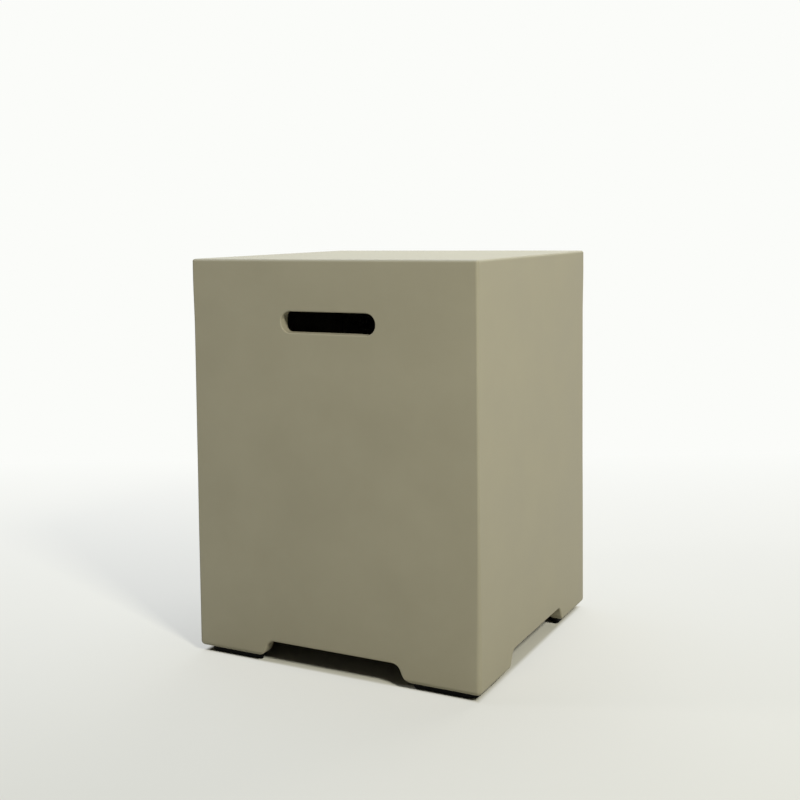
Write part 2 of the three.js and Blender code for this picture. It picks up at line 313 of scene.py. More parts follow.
# %% Metals
METAL_CLOUD_SIZE = 3 * MM
METAL_CLOUD_SPREAD = (0.3, 0.7)
TURNING_PITCH = 0.25 * MM
TURNING_HEIGHT = 0.006 * MM


def clouded_metal(name, light, dark, roughness):
    material, tree, place = new_material(name)
    clouds = add(tree, "ShaderNodeTexNoise", {
        "Vector": place, "Scale": pattern_scale(METAL_CLOUD_SIZE), "Detail": 3})
    colour = add(tree, "ShaderNodeMixRGB", {
        "Fac": clouds.outputs["Fac"], "Color1": linear(light), "Color2": linear(dark)})
    shine = add(tree, "ShaderNodeMapRange", {
        "Value": clouds.outputs["Fac"], **ends("From", METAL_CLOUD_SPREAD), **ends("To", roughness)})
    marks = add(tree, "ShaderNodeTexWave", {
        "Vector": place, "Scale": pattern_scale(TURNING_PITCH) / (2 * math.pi), "Distortion": 0.3},
        bands_direction="Z")
    bump = add(tree, "ShaderNodeBump", {"Height": marks.outputs["Fac"], "Distance": TURNING_HEIGHT})
    surface = add(tree, "ShaderNodeBsdfPrincipled", {
        "Base Color": colour.outputs["Color"], "Metallic": 1, "Roughness": shine.outputs["Result"],
        "Normal": bump.outputs["Normal"]})
    add(tree, "ShaderNodeOutputMaterial", {"Surface": surface.outputs["BSDF"]})
    return material


zinc = clouded_metal("bright_zinc_plating", "#cfd2d6", "#b3b3a4", (0.26, 0.4))
brass = clouded_metal("turned_brass", "#c9a96a", "#a8874c", (0.3, 0.45))
print("materials:", zinc.name, "and", brass.name)

# %% [markdown]
# ## Meshes from rings
# A casting, a moulded pad and a turned screw are all stacks of outlines, so one function joins
# rings of points into a closed skin. All the rings of one piece have equally many points. The
# first and the last ring are filled in, or joined to each other where the piece is a hoop.
# A turned piece's rings are circles, or nearly so where it is threaded or knurled.

# %% Meshes from rings
ROUND_STEPS = 32


def circle(radius, z, steps=ROUND_STEPS):
    angles = [2 * math.pi * step / steps for step in range(steps)]
    return [Vector((radius * math.cos(a), radius * math.sin(a), z)) for a in angles]


def new_piece(name, data):
    piece = bpy.data.objects.new(name, data)
    bpy.context.scene.collection.objects.link(piece)
    return piece


def loft(name, rings, material, hoop=False):
    count = len(rings[0])
    vertices = [point for ring in rings for point in ring]
    total = len(vertices)
    faces = []
    for level in range(len(rings) - (0 if hoop else 1)):
        for i in range(count):
            j = (i + 1) % count
            low, high = level * count, (level + 1) * count
            faces.append((low + i, low + j, (high + j) % total, (high + i) % total))
    if not hoop:
        faces.append(tuple(reversed(range(count))))
        faces.append(tuple(range(total - count, total)))
    mesh = bpy.data.meshes.new(name)
    mesh.from_pydata(vertices, [], faces)
    mesh.materials.append(material)
    shape = bmesh.new()
    shape.from_mesh(mesh)
    bmesh.ops.recalc_face_normals(shape, faces=shape.faces)
    shape.to_mesh(mesh)
    shape.free()
    return new_piece(name, mesh)


print("points in the ring of a turned piece:", len(circle(MM, 0)))

# %% [markdown]
# ## Cutting
# The slot, the foot cutouts and the screw holes are cut out of a solid, as the mould's cores keep
# the concrete out of them. Boolean modifiers do that, and their result is kept as a plain mesh.
# The manifold solver is quick on fine meshes, but a hole has to cross several faces of them. The
# exact one also cuts a hole in the middle of one large face, so the small pieces use that.
# Cut edges stay crisp and rounded ones smooth: faces that meet at more than 40 degrees are sharp.

# %% Cutting
SHARP_ANGLE = math.radians(40)
WELD_DISTANCE = 0.001 * MM
LITRE = 0.001


def cut(piece, cutters, solver="MANIFOLD"):
    for cutter in cutters:
        step = piece.modifiers.new("cut", "BOOLEAN")
        step.operation = "DIFFERENCE"
        step.solver = solver
        step.object = cutter
    mesh = bpy.data.meshes.new_from_object(piece.evaluated_get(bpy.context.evaluated_depsgraph_get()))
    piece.modifiers.clear()
    piece.data = mesh
    for cutter in cutters:
        bpy.data.objects.remove(cutter)
    return piece


def finish_surface(piece):
    shape = bmesh.new()
    shape.from_mesh(piece.data)
    bmesh.ops.remove_doubles(shape, verts=shape.verts, dist=WELD_DISTANCE)
    open_edges = sum(not edge.is_manifold for edge in shape.edges)
    litres = shape.calc_volume() / LITRE
    shape.to_mesh(piece.data)
    shape.free()
    piece.data.shade_smooth()
    piece.data.set_sharp_from_angle(angle=SHARP_ANGLE)
    even = piece.modifiers.new("even_shading", "WEIGHTED_NORMAL")
    even.keep_sharp = True
    faces = len(piece.data.polygons)
    print(piece.name, faces, "faces,", open_edges, "open edges,", round(litres, 5), "litres")
    return piece


def keep(piece, slot, *nodes):
    """A finished piece rides on the one body and stands for its nodes."""
    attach(piece, "root")
    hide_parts(*nodes)


print("faces that meet at more than", round(math.degrees(SHARP_ANGLE)), "degrees are sharp")

# %% [markdown]
# ## Outlines with rounded corners
# The slot, the foot cutouts and the pads are polygons with rounded corners. A corner is written as
# a point and a radius. `grown` moves every side of such an outline outwards and lets the corner
# radii follow, which gives the outline of a lip or of an edge radius at each depth.

# %% Outlines with rounded corners
ARC_STEPS = 10
LEAST_RADIUS = 0.05 * MM


def directions(corners, i):
    here = Vector(corners[i][:2])
    before = Vector(corners[i - 1][:2])
    after = Vector(corners[(i + 1) % len(corners)][:2])
    return here, (here - before).normalized(), (after - here).normalized()


def grown(corners, growth):
    result = []
    for i, (_, _, radius) in enumerate(corners):
        here, arriving, leaving = directions(corners, i)
        first = Vector((arriving.y, -arriving.x))
        second = Vector((leaving.y, -leaving.x))
        here += (first + second) * growth / (1 + first.dot(second))
        if radius > 0:
            radius = max(radius + math.copysign(growth, arriving.cross(leaving)), LEAST_RADIUS)
        result.append((here.x, here.y, radius))
    return result


def rounded_outline(corners, steps=ARC_STEPS):
    points = []
    for i, (_, _, radius) in enumerate(corners):
        here, arriving, leaving = directions(corners, i)
        if radius == 0:
            points.append(here)
            continue
        turn = math.atan2(arriving.cross(leaving), arriving.dot(leaving))
        start = here - arriving * radius * math.tan(abs(turn) / 2)
        centre = start + Vector((-arriving.y, arriving.x)) * math.copysign(radius, turn)
        for step in range(steps + 1):
            points.append(centre + Matrix.Rotation(turn * step / steps, 2) @ (start - centre))
    return points


unit_square = [(0, 0, 0), (1, 0, 0), (1, 1, 0), (0, 1, 0)]
larger_square = grown(unit_square, 0.1)
print("a unit square grown by a tenth:", [(round(x, 2), round(y, 2)) for x, y, _ in larger_square])

# %% [markdown]
# ## The shell's outer skin
# The casting comes out of a mould that isn't quite true and is sanded by hand. Its walls are true
# at the feet and for the top two centimetres, and hollow by up to a millimetre between, with slow
# waves of a few tenths. The waves are Perlin noise, which is the same in each run. The upright
# edges are rounder near the feet, where hands sand most. The skin never leaves the shell's box.

# %% The shell's outer skin
UPRIGHT_RADIUS = 4.2 * MM
UPRIGHT_RADIUS_BELOW = 6.2 * MM
SANDED_HEIGHT = 190 * MM
TOP_EDGE_RADIUS = 3.6 * MM
BOTTOM_EDGE_RADIUS = 6 * MM
EDGE_STEPS = 8
GRID_STEP = 12 * MM
UNDERSIDE_STEP = 6 * MM
HOLLOW = 1 * MM
HOLLOW_START = 20 * MM
HOLLOW_FULL = 95 * MM
WAVE_HEIGHT = 0.3 * MM
WAVE_SIZE = 170 * MM
side_steps = round(2 * shell_half / GRID_STEP)


def eased(value, start, end):
    t = min(max((value - start) / (end - start), 0), 1)
    return t * t * (3 - 2 * t)


def wave(point):
    return WAVE_HEIGHT * (1 + noise.noise(point / WAVE_SIZE)) / 2


def skin_depth(point):
    """How deep the skin lies below the wall's nominal plane, above the bottom edge's rounding."""
    above_feet = eased(point.z - shell_low.z, 0, shell_height / 2)
    below_top = eased(shell_high.z - point.z, HOLLOW_START, HOLLOW_FULL)
    return HOLLOW * above_feet * below_top + wave(point)


def quarter_steps(steps=EDGE_STEPS, start=0):
    return [start + (QUARTER - start) * step / steps for step in range(steps + 1)]


def quarter_round(radius, steps=EDGE_STEPS, start=0):
    """A rounded edge, as its distances from the two faces that it joins."""
    angles = quarter_steps(steps, start)
    return [(radius * (1 - math.cos(a)), radius * (1 - math.sin(a))) for a in angles]


def square_ring(half, radius, z, depth=None):
    """A square with rounded corners. Each point may move inwards by a depth that depends on it."""
    inner = half - radius
    outs = [Vector((math.cos(a), math.sin(a), 0)) for a in quarter_steps()]
    points = [(Vector((inner, inner, z)) + out * radius, out) for out in outs]
    for step in range(1, side_steps):
        points.append((Vector((inner - 2 * inner * step / side_steps, half, z)), Vector((0, 1, 0))))
    ring = []
    for quarter in range(4):
        turn = Matrix.Rotation(quarter * QUARTER, 3, "Z")
        for flat_point, flat_out in points:
            point, out = turn @ flat_point, turn @ flat_out
            ring.append(point - out * depth(point) if depth else point)
    return ring


def outer_skin():
    rings = []
    radius = UPRIGHT_RADIUS_BELOW - BOTTOM_EDGE_RADIUS
    half = UNDERSIDE_STEP
    while half < shell_half - BOTTOM_EDGE_RADIUS - UNDERSIDE_STEP / 2:
        rings.append(square_ring(half, radius, shell_low.z))
        half += UNDERSIDE_STEP
    for rise, inset in quarter_round(BOTTOM_EDGE_RADIUS):
        radius = UPRIGHT_RADIUS_BELOW - inset
        rings.append(square_ring(shell_half - inset, radius, shell_low.z + rise, skin_depth))
    wall_low = shell_low.z + BOTTOM_EDGE_RADIUS
    wall_high = shell_high.z - TOP_EDGE_RADIUS
    levels = round((wall_high - wall_low) / GRID_STEP)
    for level in range(1, levels):
        z = wall_low + (wall_high - wall_low) * level / levels
        sanded = 1 - eased(z - shell_low.z, 0, SANDED_HEIGHT)
        radius = UPRIGHT_RADIUS + (UPRIGHT_RADIUS_BELOW - UPRIGHT_RADIUS) * sanded
        rings.append(square_ring(shell_half, radius, z, skin_depth))
    for angle in quarter_steps():
        inset = TOP_EDGE_RADIUS * (1 - math.cos(angle))
        z = wall_high + TOP_EDGE_RADIUS * math.sin(angle)
        rings.append(square_ring(shell_half - inset, UPRIGHT_RADIUS - inset, z, skin_depth))
    radius = UPRIGHT_RADIUS - TOP_EDGE_RADIUS
    half = shell_half - TOP_EDGE_RADIUS - GRID_STEP
    while half > 0:
        ring = square_ring(half, radius, shell_high.z)
        share = eased(shell_half - half, 0, WAVE_SIZE)
        rings.append([point - Vector((0, 0, wave(point) * share)) for point in ring])
        half -= GRID_STEP
    return loft("shell_casting", rings, coat)


shell = outer_skin()
print("outer skin:", len(shell.data.polygons), "faces")

# %% [markdown]
# ## The hollow
# The inside is moulded over a core with rounded corners. Near the floor a diagonal block thickens
# each corner, so that there is concrete around the screw inserts. A ring of the core is a square
# whose corners are cut off at 45 degrees, with two bends to each. Above the blocks the cut-off
# shrinks until its two bends meet, which makes a plain round corner.

# %% The hollow
WALL = 18 * MM
TOP_THICKNESS = 20 * MM
CORE_EDGE_RADIUS = 12 * MM
BLOCK_LEG = 50 * MM
BLOCK_FACE_HEIGHT = 34 * MM
BLOCK_SLOPE_RISE = 30 * MM
BLOCK_EDGE_BLEND = 5 * MM
BLEND_SAMPLES = (-1, -0.6, -0.2, 0.2, 0.6, 1)
LEG_MARGIN = 1.001
INNER_LIP = 1.5 * MM
OVERRUN = 8 * MM
CORE_SIDE_STEPS = 27
CORE_STEP = 13 * MM
core_half = shell_half - WALL
core_top = shell_high.z - TOP_THICKNESS


def least_leg(radius):
    """The leg of a cut-off corner whose two bends of this radius just meet."""
    return radius * math.tan(math.pi / 8) * math.sqrt(2)


plain_leg = least_leg(CORE_EDGE_RADIUS)


def block_leg(height):
    """The cut-off corner's leg at a height, with the block's upper edges blended."""
    legs = []
    for share in BLEND_SAMPLES:
        above = (height + share * BLOCK_EDGE_BLEND - BLOCK_FACE_HEIGHT) / BLOCK_SLOPE_RISE
        legs.append(BLOCK_LEG * (1 - min(max(above, 0), 1)))
    return max(sum(legs) / len(legs), plain_leg)


def core_ring(inset, leg, z):
    """A ring of the core, whose long sides are divided so that no face is large."""
    half = core_half - inset
    radius = max(CORE_EDGE_RADIUS - inset, LEAST_RADIUS)
    leg = max(leg - inset * (2 - math.sqrt(2)), least_leg(radius) * LEG_MARGIN)
    corners = []
    for quarter in range(4):
        turn = Matrix.Rotation(quarter * QUARTER, 2)
        for corner in (Vector((half, half - leg)), Vector((half - leg, half))):
            corners.append((*(turn @ corner), radius))
    outline = rounded_outline(corners, EDGE_STEPS)
    arc = EDGE_STEPS + 1
    points = []
    for first in range(0, len(outline), 2 * arc):
        points += outline[first:first + 2 * arc]
        start, end = points[-1], outline[(first + 2 * arc) % len(outline)]
        points += [start.lerp(end, step / CORE_SIDE_STEPS) for step in range(1, CORE_SIDE_STEPS)]
    return [Vector((point.x, point.y, z)) for point in points]


def core():
    rings = [core_ring(-INNER_LIP, BLOCK_LEG, shell_low.z - OVERRUN)]
    for rise, growth in quarter_round(INNER_LIP):
        rings.append(core_ring(-growth, BLOCK_LEG, shell_low.z + rise))
    blend_low = BLOCK_FACE_HEIGHT - BLOCK_EDGE_BLEND
    blend_high = BLOCK_FACE_HEIGHT + BLOCK_SLOPE_RISE + BLOCK_EDGE_BLEND
    steps = round((blend_high - blend_low) / MM)
    for step in range(steps + 1):
        height = blend_low + (blend_high - blend_low) * step / steps
        rings.append(core_ring(0, block_leg(height), shell_low.z + height))
    z = shell_low.z + blend_high + CORE_STEP
    while z < core_top - CORE_EDGE_RADIUS - CORE_STEP / 2:
        rings.append(core_ring(0, plain_leg, z))
        z += CORE_STEP
    for inset, drop in quarter_round(CORE_EDGE_RADIUS):
        rings.append(core_ring(inset, plain_leg, core_top - drop))
    return loft("core", rings, concrete)


print("wall, mm:", WALL / MM, "top, mm:", TOP_THICKNESS / MM, "core, mm:", round(2 * core_half / MM))

# %% [markdown]
# ## Holes with lips
# No edge of a casting is sharp: the mould has small radii, and paint rounds them more. Where a hole
# passes through a wall, its outline grows towards both faces in a quarter round. The cutter follows
# the real skin, not its nominal plane, so the lip meets the wall smoothly all along the hole.

# %% Holes with lips
LIP_STEPS = 7
LIP_START = math.radians(10)


def lip_stations(outer_lip):
    """Depth in the wall and growth of a hole's outline, from outside to inside."""
    outer = quarter_round(outer_lip, LIP_STEPS, LIP_START)
    inner = quarter_round(INNER_LIP, LIP_STEPS, LIP_START)
    inner = [(WALL - depth, growth) for depth, growth in reversed(inner)]
    drop = OVERRUN * math.tan(LIP_START)
    first = (outer[0][0] - drop, outer[0][1] + OVERRUN)
    last = (inner[-1][0] + drop, inner[-1][1] + OVERRUN)
    return [first, *outer, *inner, last]


def skin_at(point):
    """The skin's depth at a height, with the bottom edge's rounding."""
    radius = BOTTOM_EDGE_RADIUS
    height = min(max(point.z - shell_low.z, 0), radius)
    rounding = radius - math.sqrt(radius ** 2 - (radius - height) ** 2)
    return rounding + skin_depth(point)


def hole_cutter(name, outline_at, outer_lip, quarters):
    """A cutter through the front wall, turned by quarters to the wall that it cuts."""
    spin = Matrix.Rotation(quarters * QUARTER, 3, "Z")
    rings = []
    for depth, growth in lip_stations(outer_lip):
        ring = []
        share = min(max(depth / WALL, 0), 1)
        for flat in rounded_outline(outline_at(growth, share)):
            point = spin @ Vector((flat.x, -shell_half, flat.y))
            follow = skin_at(point) * (1 - share)
            ring.append(point + spin @ Vector((0, depth + follow, 0)))
        rings.append(ring)
    return loft(name, rings, coat)


print("rings of a hole's cutter:", len(lip_stations(INNER_LIP)))

# %% [markdown]
# ## Hand slot
# Four fingers go through a round-ended slot high in the front wall, and the same in the back wall,
# so that two hands can lift the cover. Its lips are rounded, because fingers bear on them. The
# mould's plug for it is tapered so that it can be drawn out, and its inner end is squarer: the
# camera sees that as a straighter left end and a pale band along the bottom.

# %% Hand slot
SLOT_LENGTH = 132 * MM
SLOT_HEIGHT = 27 * MM
SLOT_CORNER_RADIUS = 13.4 * MM
SLOT_INNER_CORNER_RADIUS = 7.5 * MM
SLOT_TAPER = 0.5 * MM
SLOT_DROP = 78.5 * MM
SLOT_OUTER_LIP = 1.5 * MM
slot_z = shell_high.z - SLOT_DROP


def slot_outline(growth, depth_share):
    x = SLOT_LENGTH / 2 - SLOT_TAPER * depth_share
    z = SLOT_HEIGHT / 2 - SLOT_TAPER * depth_share
    radius = SLOT_CORNER_RADIUS + (SLOT_INNER_CORNER_RADIUS - SLOT_CORNER_RADIUS) * depth_share
    corners = [(a * x, slot_z + b * z, radius) for a, b in ((-1, -1), (1, -1), (1, 1), (-1, 1))]
    return grown(corners, growth)


print("slot, mm:", SLOT_LENGTH / MM, "by", SLOT_HEIGHT / MM, "at z", round(slot_z / MM, 1))

# %% [markdown]
# ## Foot cutouts
# A low opening with sloped ends in each wall leaves four feet, and lets air and leaking gas out.
# Its upper corners are filleted, and the feet's toes are round. The lip grows the slopes and the
# upper edge, while the feet keep their flat underside.

# %% Foot cutouts
CUTOUT_HEIGHT = 22 * MM
FOOT_LENGTH_BELOW = 99 * MM
FOOT_LENGTH_ABOVE = 108.5 * MM
CUTOUT_FILLET = 12 * MM
TOE_RADIUS = 15 * MM
CUTOUT_OUTER_LIP = 2 * MM


def cutout_outline(growth, depth_share):
    """The cutouts aren't tapered, so their outline is the same at each depth."""
    below = shell_half - FOOT_LENGTH_BELOW
    above = shell_half - FOOT_LENGTH_ABOVE
    slope = math.atan2(CUTOUT_HEIGHT, below - above)
    below += growth / math.sin(slope)
    above += growth / math.sin(slope) - growth / math.tan(slope)
    end = shell_half - FOOT_LENGTH_BELOW + TOE_RADIUS * math.tan(slope / 2) + 2 * OVERRUN
    low, high = shell_low.z, shell_low.z + CUTOUT_HEIGHT + growth
    return [
        (-end, low - OVERRUN, 0), (end, low - OVERRUN, 0), (end, low, 0), (below, low, TOE_RADIUS),
        (above, high, CUTOUT_FILLET + growth), (-above, high, CUTOUT_FILLET + growth),
        (-below, low, TOE_RADIUS), (-end, low, 0)]


print("cutout, mm:", CUTOUT_HEIGHT / MM, "high, feet", FOOT_LENGTH_BELOW / MM, "long at the floor")

# %% [markdown]
# ## Insert holes
# Two brass inserts are cast into each foot. Their holes follow the inserts' waist with a small
# clearance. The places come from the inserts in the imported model.

# %% Insert holes
CASTING_CLEARANCE = 0.3 * MM
INSERT_RADIUS = 4.5 * MM
INSERT_LENGTH = 18 * MM
INSERT_END_WALL = 2.5 * MM
WAIST_RADIUS = 3.7 * MM
WAIST_LENGTH = 6 * MM
WAIST_SLOPE = 1 * MM


def nodes_of(kind):
    return sorted(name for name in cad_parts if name.startswith(kind))


inserts = nodes_of("cast_in_insert")


def waist_profile(clearance):
    """Radius and height of the insert's outside, upwards from its open end."""
    start = (INSERT_LENGTH - WAIST_LENGTH) / 2
    end = start + WAIST_LENGTH
    wide, narrow = INSERT_RADIUS + clearance, WAIST_RADIUS + clearance
    return [
        (wide, 0), (wide, start), (narrow, start + WAIST_SLOPE), (narrow, end - WAIST_SLOPE),
        (wide, end), (wide, INSERT_LENGTH + clearance)]


def middle(node):
    low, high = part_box(node)
    return Vector(((low.x + high.x) / 2, (low.y + high.y) / 2, low.z))


def insert_cutter(node):
    profile = waist_profile(CASTING_CLEARANCE)
    rings = [circle(radius, height) for radius, height in [(profile[0][0], -OVERRUN), *profile[1:]]]
    place = middle(node)
    return loft("insert_hole", [[point + place for point in ring] for ring in rings], concrete)


print("inserts:", len(inserts))

# %% [markdown]
# ## The finished casting
# The core, the two slots, the four cutouts and the eight insert holes are cut from the outer skin.
# Faces on the core's side of the walls get the bare concrete, and all the others keep the coat.

# %% The finished casting
FACE_MARGIN = 0.1 * MM
cutters = [core()]
cutters += [hole_cutter("slot", slot_outline, SLOT_OUTER_LIP, quarters) for quarters in (0, 2)]
cutters += [hole_cutter("cutout", cutout_outline, CUTOUT_OUTER_LIP, quarters) for quarters in range(4)]
cutters += [insert_cutter(node) for node in inserts]
cut(shell, cutters)
finish_surface(shell)
shell.data.materials.clear()
shell.data.materials.append(coat)
shell.data.materials.append(concrete)
for face in shell.data.polygons:
    across = max(abs(face.center.x), abs(face.center.y))
    inside = across < core_half + FACE_MARGIN and face.center.z < core_top + FACE_MARGIN
    face.material_index = int(inside)
keep(shell, "coated_concrete", "shell")
print("faces of bare concrete:", sum(face.material_index for face in shell.data.polygons))

# %% [markdown]
# ## Foot pads
# Each pad is one L-shaped rubber moulding under a foot's two walls and its corner block. Moulded
# rubber has no sharp edge: the pad is rounded by about a millimetre where it meets the floor and
# less above. Two counterbores keep the screw heads off the floor.

# %% Foot pads
PAD_THICKNESS = 8 * MM
PAD_INSET = 10 * MM
PAD_REACH = 91 * MM
PAD_LEG_EDGE = 17 * MM
PAD_OUTER_RADIUS = 12 * MM
PAD_CORNER_RADIUS = 3 * MM
PAD_INNER_RADIUS = 2 * MM
PAD_BLOCK_SETBACK = 1 * MM
PAD_FLOOR_EDGE = 1.2 * MM
PAD_UPPER_EDGE = 0.5 * MM
COUNTERBORE_RADIUS = 7 * MM
COUNTERBORE_DEPTH = 5 * MM
SHANK_HOLE_RADIUS = 2.9 * MM
PAD_EDGE_STEPS = 5
CORNERS = {"front_left": (-1, -1), "front_right": (1, -1), "back_left": (-1, 1), "back_right": (1, 1)}


def pad_outline():
    block_face = 2 * WALL + BLOCK_LEG - PAD_BLOCK_SETBACK * math.sqrt(2)
    return [
        (PAD_INSET, PAD_INSET, PAD_OUTER_RADIUS), (PAD_REACH, PAD_INSET, PAD_CORNER_RADIUS),
        (PAD_REACH, PAD_LEG_EDGE, PAD_CORNER_RADIUS),
        (block_face - PAD_LEG_EDGE, PAD_LEG_EDGE, PAD_INNER_RADIUS),
        (PAD_LEG_EDGE, block_face - PAD_LEG_EDGE, PAD_INNER_RADIUS),
        (PAD_LEG_EDGE, PAD_REACH, PAD_CORNER_RADIUS), (PAD_INSET, PAD_REACH, PAD_CORNER_RADIUS)]


def foot_pad(corner):
    sign_x, sign_y = CORNERS[corner]

    def in_place(flat, z):
        return Vector((sign_x * (shell_half - flat.x), sign_y * (shell_half - flat.y), z))

    levels = quarter_round(PAD_FLOOR_EDGE, PAD_EDGE_STEPS)
    upper_edge = reversed(quarter_round(PAD_UPPER_EDGE, PAD_EDGE_STEPS))
    levels += [(PAD_THICKNESS - drop, inset) for drop, inset in upper_edge]
    rings = []
    for z, inset in levels:
        outline = rounded_outline(grown(pad_outline(), -inset))
        rings.append([in_place(point, z) for point in outline])
    pad = loft("rubber_pad_" + corner, rings, rubber)
    bores = []
    for place in ("a", "b"):
        centre = middle(f"pad_screw_{corner}_{place}")
        profile = [
            (COUNTERBORE_RADIUS + PAD_UPPER_EDGE, -OVERRUN), (COUNTERBORE_RADIUS + PAD_UPPER_EDGE, 0),
            (COUNTERBORE_RADIUS, PAD_UPPER_EDGE), (COUNTERBORE_RADIUS, COUNTERBORE_DEPTH),
            (SHANK_HOLE_RADIUS, COUNTERBORE_DEPTH), (SHANK_HOLE_RADIUS, PAD_THICKNESS + OVERRUN)]
        ring_centre = Vector((centre.x, centre.y, 0))
        bores.append(loft("bore", [[p + ring_centre for p in circle(r, z)] for r, z in profile], rubber))
    return finish_surface(cut(pad, bores, "EXACT"))


for corner in CORNERS:
    keep(foot_pad(corner), "pad_rubber", "foot_pad_" + corner)

# %% [markdown]
# ## Thread
# The screws are M5, with one turn every 0.8 mm. A thread is a groove that climbs as it goes round,
# so its radius depends on height and angle together. The crest is an eighth of the pitch wide and
# each flank five sixteenths. The insert's thread is the same form with a running clearance, shifted
# by the height between the two pieces, so that they mesh.

# %% Thread
PITCH = 0.8 * MM
THREAD_DEPTH = 0.46 * MM
HALF_CREST = 1 / 16
FLANK_WIDTH = 5 / 16
SCREW_RADIUS = 2.5 * MM
THREAD_CLEARANCE = 0.12 * MM
RINGS_PER_TURN = 8


def thread_radius(z, angle):
    phase = (z / PITCH - angle / (2 * math.pi)) % 1
    flank = min(max((abs(phase - 0.5) - HALF_CREST) / FLANK_WIDTH, 0), 1)
    return SCREW_RADIUS - THREAD_DEPTH * flank


def thread_ring(z, shift, clearance, widest, steps=ROUND_STEPS):
    """One ring of a thread that is cut as if it stood higher by a shift."""
    ring = []
    for step in range(steps):
        angle = 2 * math.pi * step / steps
        radius = min(thread_radius(z + shift, angle) + clearance, widest)
        ring.append(Vector((radius * math.cos(angle), radius * math.sin(angle), z)))
    return ring


print("turns in the insert:", round((INSERT_LENGTH - INSERT_END_WALL) / PITCH, 1))

# %% [markdown]
# ## Pad screws
# A pan head with a cross recess holds each pad. The head is lathe-turned with a crowned edge, the
# recess is punched with sloped sides, and the tip is tapered so that it finds the insert.

# %% Pad screws
HEAD_RADIUS = 4.75 * MM
HEAD_HEIGHT = 2.6 * MM
HEAD_EDGE_RADIUS = 1.2 * MM
HEAD_EDGE_STEPS = 5
HEAD_RIM_RADIUS = 0.15 * MM
SCREW_LENGTH = 16 * MM
TIP_TAPER = 1.2 * MM
NECK_LENGTH = 0.8 * MM
RECESS_SPAN = 5.6 * MM
RECESS_WIDTH = 1.3 * MM
RECESS_DEPTH = 1.6 * MM
RECESS_TAPER = 0.55


def cross_ring(span, width, z):
    a, b = span / 2, width / 2
    quarter = [(a, -b), (a, b), (b, b)]
    ring = []
    for turn in range(4):
        spin = Matrix.Rotation(turn * QUARTER, 2)
        ring += [spin @ Vector(point) for point in quarter]
    return [Vector((point.x, point.y, z)) for point in ring]


def screw_mesh():
    rings = [circle(HEAD_RADIUS - HEAD_EDGE_RADIUS, -HEAD_HEIGHT)]
    for rise, inset in quarter_round(HEAD_EDGE_RADIUS, HEAD_EDGE_STEPS)[1:]:
        rings.append(circle(HEAD_RADIUS - inset, -HEAD_HEIGHT + rise))
    rings.append(circle(HEAD_RADIUS, -HEAD_RIM_RADIUS))
    rings.append(circle(HEAD_RADIUS - HEAD_RIM_RADIUS, 0))
    root = SCREW_RADIUS - THREAD_DEPTH
    rings.append(circle(root, 0))
    rings.append(circle(root, NECK_LENGTH))
    count = round((SCREW_LENGTH - NECK_LENGTH) / PITCH * RINGS_PER_TURN)
    for step in range(1, count + 1):
        z = NECK_LENGTH + (SCREW_LENGTH - NECK_LENGTH) * step / count
        widest = min(SCREW_RADIUS, SCREW_RADIUS - TIP_TAPER + SCREW_LENGTH - z)
        rings.append(thread_ring(z, 0, 0, widest))
    screw = loft("screw_form", rings, zinc)
    recess = [
        cross_ring(RECESS_SPAN, RECESS_WIDTH, -HEAD_HEIGHT - OVERRUN),
        cross_ring(RECESS_SPAN, RECESS_WIDTH, -HEAD_HEIGHT),
        cross_ring(RECESS_SPAN * RECESS_TAPER, RECESS_WIDTH * RECESS_TAPER, -HEAD_HEIGHT + RECESS_DEPTH)]
    return finish_surface(cut(screw, [loft("recess", recess, zinc)], "EXACT"))


def stand_for_all(form, name, slot, kind, height):
    """A copy of a form in the place of each node of a kind. The form itself goes."""
    nodes = nodes_of(kind)
    for node in nodes:
        copy = form.copy()
        copy.name = name + node.removeprefix(kind)
        bpy.context.scene.collection.objects.link(copy)
        copy.location = middle(node)
        copy.location.z = height
        keep(copy, slot, node)
    bpy.data.objects.remove(form)
    print(name + ":", len(nodes), "pieces")


washer_low, washer_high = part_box("pad_washer_front_left_a")
stand_for_all(screw_mesh(), "cross_head_screw", "zinc_plated_steel", "pad_screw", washer_low.z)

# %% [markdown]
# ## Washers
# A washer is punched from sheet. The punch rounds the edges on the side where it enters and leaves
# them crisp on the other, so the ring's section is round above and square below.

# %% Washers
WASHER_RADIUS = 6 * MM
WASHER_BORE = 2.9 * MM
PUNCH_RADIUS = 0.35 * MM
PUNCH_STEPS = 5
washer_thickness = washer_high.z - washer_low.z


def washer_mesh():
    edge = [(inset, washer_thickness - drop) for inset, drop in quarter_round(PUNCH_RADIUS, PUNCH_STEPS)]
    section = [(WASHER_BORE, 0), (WASHER_RADIUS, 0)]
    section += [(WASHER_RADIUS - inset, z) for inset, z in edge]
    section += [(WASHER_BORE + inset, z) for inset, z in reversed(edge)]
    return finish_surface(loft("washer_form", [circle(r, z) for r, z in section], zinc, hoop=True))


stand_for_all(washer_mesh(), "punched_washer", "zinc_plated_steel", "pad_washer", washer_low.z)

# %% [markdown]
# ## Cast-in inserts
# The inserts are turned from brass, with straight knurling on both lands so that they can't turn
# in the concrete, and a plain waist so that they can't pull out. The bore is threaded and blind.

# %% Cast-in inserts
KNURL_TEETH = 24
KNURL_DEPTH = 0.25 * MM
KNURL_POINTS = 2
KNURL_STEPS = KNURL_TEETH * KNURL_POINTS
INSERT_CHAMFER = 0.4 * MM
insert_low = middle(inserts[0]).z


def knurled_circle(radius, z):
    crests = circle(radius, z, KNURL_STEPS)
    grooves = circle(radius - KNURL_DEPTH, z, KNURL_STEPS)
    return [crests[i] if i % KNURL_POINTS else grooves[i] for i in range(KNURL_STEPS)]


